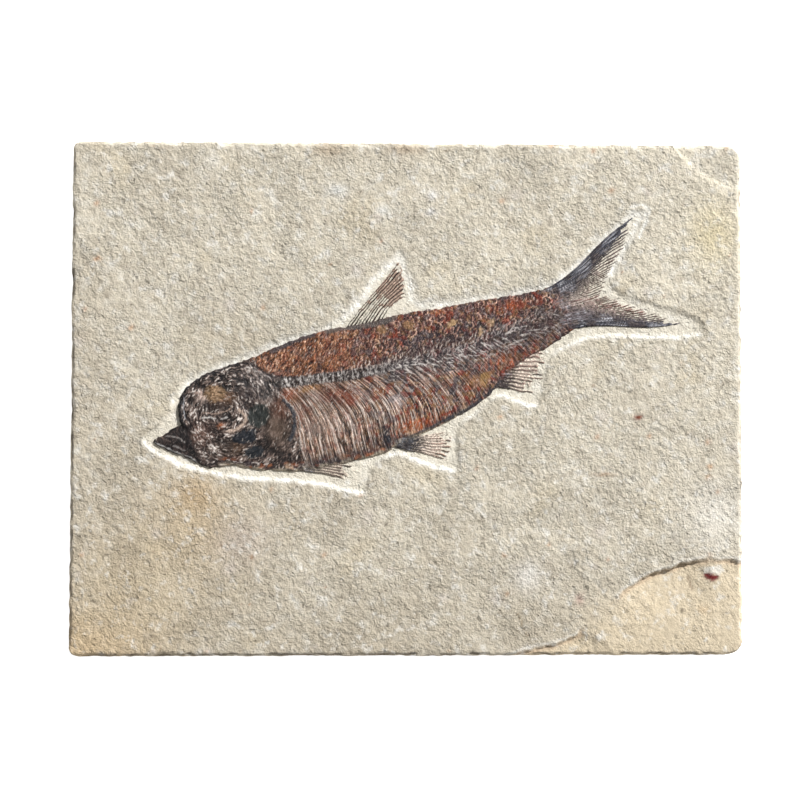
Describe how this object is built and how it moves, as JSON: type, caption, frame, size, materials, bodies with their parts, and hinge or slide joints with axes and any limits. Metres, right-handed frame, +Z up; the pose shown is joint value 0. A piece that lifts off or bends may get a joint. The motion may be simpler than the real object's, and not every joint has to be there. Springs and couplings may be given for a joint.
{
  "type": "fossil fish slab",
  "caption": "Flat rectangular slab of pale limestone with a dark fossil fish lying in a shallow scraped hollow; lies face up on its flat underside as a display piece.",
  "frame": {"origin": "centre of the slab's flat underside", "axes": "+Z up out of the fossil face, +X along the slab's long side from the fish's head towards its tail, +Y towards the fish's back"},
  "size_m": [0.153, 0.117, 0.012],
  "materials": {
    "limestone": "matt, grainy split face",
    "fossil_bone": "satin dark brown mineralised bone and scales"
  },
  "bodies": {
    "root": {"limestone_slab": "limestone", "fossil_fish": "fossil_bone"}
  },
  "joints": []
}
